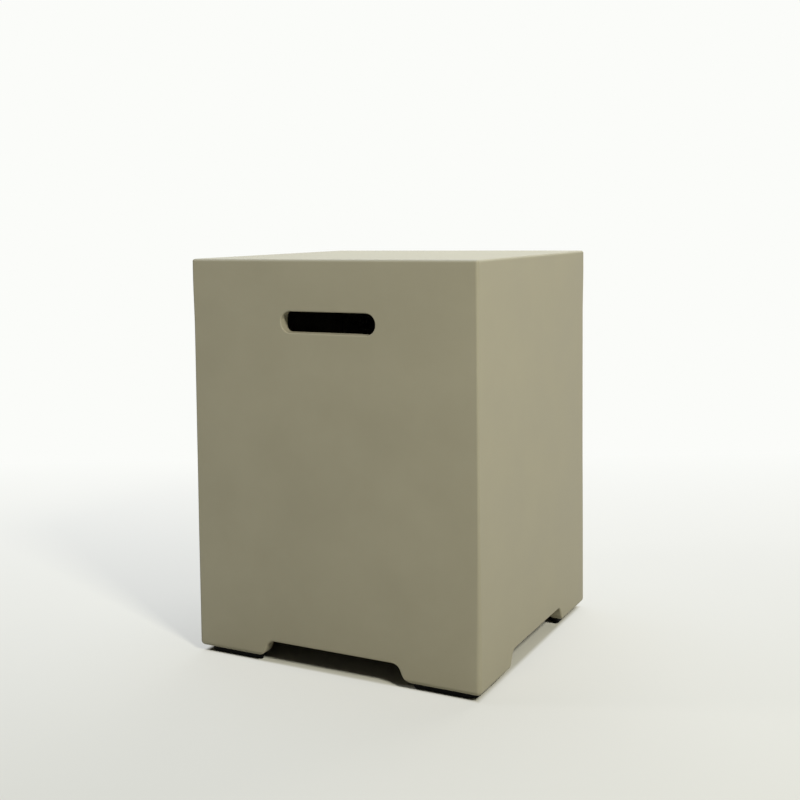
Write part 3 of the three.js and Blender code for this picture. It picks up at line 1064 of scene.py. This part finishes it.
def insert_mesh():
    bore_end = INSERT_LENGTH - INSERT_END_WALL
    widest = SCREW_RADIUS + THREAD_CLEARANCE
    rings = [circle(widest, bore_end, KNURL_STEPS)]
    count = round(bore_end / PITCH * RINGS_PER_TURN)
    for step in range(1, count):
        z = bore_end * (1 - step / count)
        rings.append(thread_ring(z, insert_low - washer_low.z, THREAD_CLEARANCE, widest, KNURL_STEPS))
    rings.append(circle(widest, 0, KNURL_STEPS))
    rings.append(circle(INSERT_RADIUS - INSERT_CHAMFER, 0, KNURL_STEPS))
    rings.append(knurled_circle(INSERT_RADIUS, INSERT_CHAMFER))
    for radius, z in waist_profile(0)[1:-1]:
        on_land = radius == INSERT_RADIUS
        rings.append(knurled_circle(radius, z) if on_land else circle(radius, z, KNURL_STEPS))
    rings.append(knurled_circle(INSERT_RADIUS, INSERT_LENGTH - INSERT_CHAMFER))
    rings.append(circle(INSERT_RADIUS - INSERT_CHAMFER, INSERT_LENGTH, KNURL_STEPS))
    return finish_surface(loft("insert_form", rings, brass))


stand_for_all(insert_mesh(), "brass_insert", "insert_brass", "cast_in_insert", insert_low)

# %% [markdown]
# ## Floor and background
# The cover stands in a white studio. The floor is a pale paint with a painted glow over it, which is
# painted light: it is least in front on the right and grows towards the back and the left, where it
# lifts the cover's long shadow, and in the distance, where it becomes the white of the background.
# The glow shows to the camera, to gloss and through glass only, so it puts no extra light on the
# cover, and the floor keeps the cover's shadow, only paler. It starts at the cover's own outline, so
# the floor below the cover is as dark as the lamps leave it.

# %% Floor and background
FLOOR_HALF = 30
FLOOR_COLOUR = "#c4c2b7"
FLOOR_ROUGHNESS = 0.6
BACKDROP_COLOUR = "#fbfcf9"
SWEEP_HEADING = (-0.475, 0.88, 0)
SWEEP_REACH = (-0.6, 1.2)
# Strength of the floor's painted glow, which is painted light, from its front to its back.
SWEEP_PAINTED_GLOW = (0.3, 1)
DISTANT_REACH = (0.9, 2)
OUTLINE_REACH = (0.191, 0.197)
AMBIENT_COLOUR = "#eef1f4"
AMBIENT_STRENGTH = 0.03


def seen_directly(tree):
    """1 for a ray that comes from the camera, from gloss or through glass, and 0 for diffuse light."""
    ray = add(tree, "ShaderNodeLightPath")
    gloss = add(tree, "ShaderNodeMath", {
        0: ray.outputs["Is Camera Ray"], 1: ray.outputs["Is Glossy Ray"]}, operation="MAXIMUM")
    return add(tree, "ShaderNodeMath", {
        0: gloss.outputs["Value"], 1: ray.outputs["Is Transmission Ray"]}, operation="MAXIMUM")


def sweep_with_painted_glow():
    material, tree, place = new_material("painted_studio_sweep")
    from_middle = add(tree, "ShaderNodeVectorMath", {0: place}, operation="ABSOLUTE")
    side = add(tree, "ShaderNodeSeparateXYZ", {"Vector": from_middle.outputs["Vector"]})
    distance = add(tree, "ShaderNodeMath", {
        0: side.outputs["X"], 1: side.outputs["Y"]}, operation="MAXIMUM")
    along_sweep = add(tree, "ShaderNodeVectorMath", {
        0: place, 1: SWEEP_HEADING}, operation="DOT_PRODUCT")
    # Painted light: the floor glows more towards the back and the left.
    painted_glow = add(tree, "ShaderNodeMapRange", {
        "Value": along_sweep.outputs["Value"],
        **ends("From", SWEEP_REACH), **ends("To", SWEEP_PAINTED_GLOW)})
    distant = add(tree, "ShaderNodeMapRange", {
        "Value": distance.outputs["Value"], **ends("From", DISTANT_REACH)})
    outside = add(tree, "ShaderNodeMapRange", {
        "Value": distance.outputs["Value"], **ends("From", OUTLINE_REACH)})
    fade = add(tree, "ShaderNodeMath", {
        0: painted_glow.outputs["Result"], 1: distant.outputs["Result"]}, operation="MAXIMUM")
    clear = add(tree, "ShaderNodeMath", {
        0: fade.outputs["Value"], 1: outside.outputs["Result"]}, operation="MULTIPLY")
    shown = add(tree, "ShaderNodeMath", {
        0: clear.outputs["Value"], 1: seen_directly(tree).outputs["Value"]}, operation="MULTIPLY")
    paint = add(tree, "ShaderNodeBsdfDiffuse", {
        "Color": linear(FLOOR_COLOUR), "Roughness": FLOOR_ROUGHNESS})
    white = add(tree, "ShaderNodeEmission", {"Color": linear(BACKDROP_COLOUR), "Strength": 1})
    mixed = add(tree, "ShaderNodeMixShader", {
        "Fac": shown.outputs["Value"], 1: paint.outputs["BSDF"], 2: white.outputs["Emission"]})
    add(tree, "ShaderNodeOutputMaterial", {"Surface": mixed.outputs["Shader"]})
    return material


floor_mesh = bpy.data.meshes.new("floor")
floor_corners = [(x * FLOOR_HALF, y * FLOOR_HALF, 0) for x, y in ((-1, -1), (1, -1), (1, 1), (-1, 1))]
floor_mesh.from_pydata(floor_corners, [], [(0, 1, 2, 3)])
floor_mesh.materials.append(sweep_with_painted_glow())
floor = new_piece("studio_floor", floor_mesh)

world = bpy.data.worlds.new("white_studio")
world.use_nodes = True
world.node_tree.nodes.clear()
white = add(world.node_tree, "ShaderNodeBackground", {"Color": linear(BACKDROP_COLOUR), "Strength": 1})
ambient = add(world.node_tree, "ShaderNodeBackground", {
    "Color": linear(AMBIENT_COLOUR), "Strength": AMBIENT_STRENGTH})
sky = add(world.node_tree, "ShaderNodeMixShader", {
    "Fac": seen_directly(world.node_tree).outputs["Value"],
    1: ambient.outputs["Background"], 2: white.outputs["Background"]})
add(world.node_tree, "ShaderNodeOutputWorld", {"Surface": sky.outputs["Shader"]})
bpy.context.scene.world = world
print("floor, m:", 2 * FLOOR_HALF, "wide, ambient light:", AMBIENT_STRENGTH)

# %% [markdown]
# ## Lamps
# Four soft boxes light the cover. The warm key stands on the right in front. It is small, so the
# gap under the feet has a crisp shadow line. A large bluish one above lights the top, and the long
# shadow on the left too, which is why that shadow looks cool. A faint one on the left throws a
# faint shadow to the right. A wide one behind stands for the light of the backdrop, which the
# cover keeps from the floor in front. It has no gloss, because gloss already sees the white world.
# A lamp's power is worked out from the brightness it should give at the cover.

# %% Lamps
COVER_MIDDLE = Vector((0, 0, shell_height / 2))


def soft_box(name, heading, elevation, distance, size, brightness, colour):
    """An area lamp. Its brightness is how bright it shows white paper that faces it at the cover."""
    lamp = bpy.data.lights.new(name, "AREA")
    lamp.shape = "RECTANGLE"
    lamp.size, lamp.size_y = size
    lamp.energy = brightness * math.pi ** 2 * distance ** 2
    lamp.color = linear(colour)[:3]
    across = Vector(heading).normalized() * math.cos(elevation)
    direction = Vector((across.x, across.y, math.sin(elevation)))
    piece = new_piece(name, lamp)
    piece.location = COVER_MIDDLE + direction * distance
    piece.rotation_euler = direction.to_track_quat("Z", "Y").to_euler()
    return piece


soft_box("key_soft_box", heading=(0.825, -0.565), elevation=math.radians(36.5), distance=3.2,
         size=(0.46, 0.46), brightness=0.75, colour="#fffef3")
soft_box("left_soft_box", heading=(-0.85, -0.53), elevation=math.radians(40), distance=2.4,
         size=(0.3, 0.3), brightness=0.14, colour="#fbfbff")
backdrop_glow = soft_box("back_soft_box", heading=(0, 1), elevation=math.radians(38), distance=2.6,
                         size=(2.8, 1), brightness=0.72, colour="#fffaf0")
backdrop_glow.visible_glossy = False
soft_box("upper_soft_box", heading=(-0.2, 0.3), elevation=math.radians(78), distance=2.6,
         size=(1.6, 1.6), brightness=0.77, colour="#d2e2ff")

# %% [markdown]
# ## Camera
# The camera stands in front on the right, just above the top's height. Its place, turn and lens
# come from the picture's straight edges. The picture is cropped off its lens axis, which the shift
# gives back: the axis passes through the named pixel of an 800 pixel wide picture.

# %% Camera
PICTURE_PIXELS = 800
AXIS_PIXEL_X = 350
AXIS_PIXEL_Y = 305.07
CAMERA_PLACE = Vector((715.84, -1464.51, 564.06)) * MM
CAMERA_YAW = math.radians(28.358)
CAMERA_PITCH = math.radians(3.952)
CAMERA_ROLL = math.radians(-0.749)
CAMERA_LENS = 53.661
CAMERA_SENSOR = 36

camera_data = bpy.data.cameras.new("camera")
camera_data.sensor_width = CAMERA_SENSOR
camera_data.lens = CAMERA_LENS
camera_data.shift_x = 0.5 - AXIS_PIXEL_X / PICTURE_PIXELS
camera_data.shift_y = AXIS_PIXEL_Y / PICTURE_PIXELS - 0.5
camera = new_piece("camera", camera_data)
level = Matrix.Rotation(CAMERA_YAW, 4, "Z") @ Matrix.Rotation(QUARTER - CAMERA_PITCH, 4, "X")
camera.matrix_world = Matrix.Translation(CAMERA_PLACE) @ level @ Matrix.Rotation(CAMERA_ROLL, 4, "Z")
bpy.context.scene.camera = camera
bpy.context.scene.view_settings.view_transform = "Standard"
print("camera, m:", [round(v, 3) for v in CAMERA_PLACE])

bpy.context.view_layer.update()
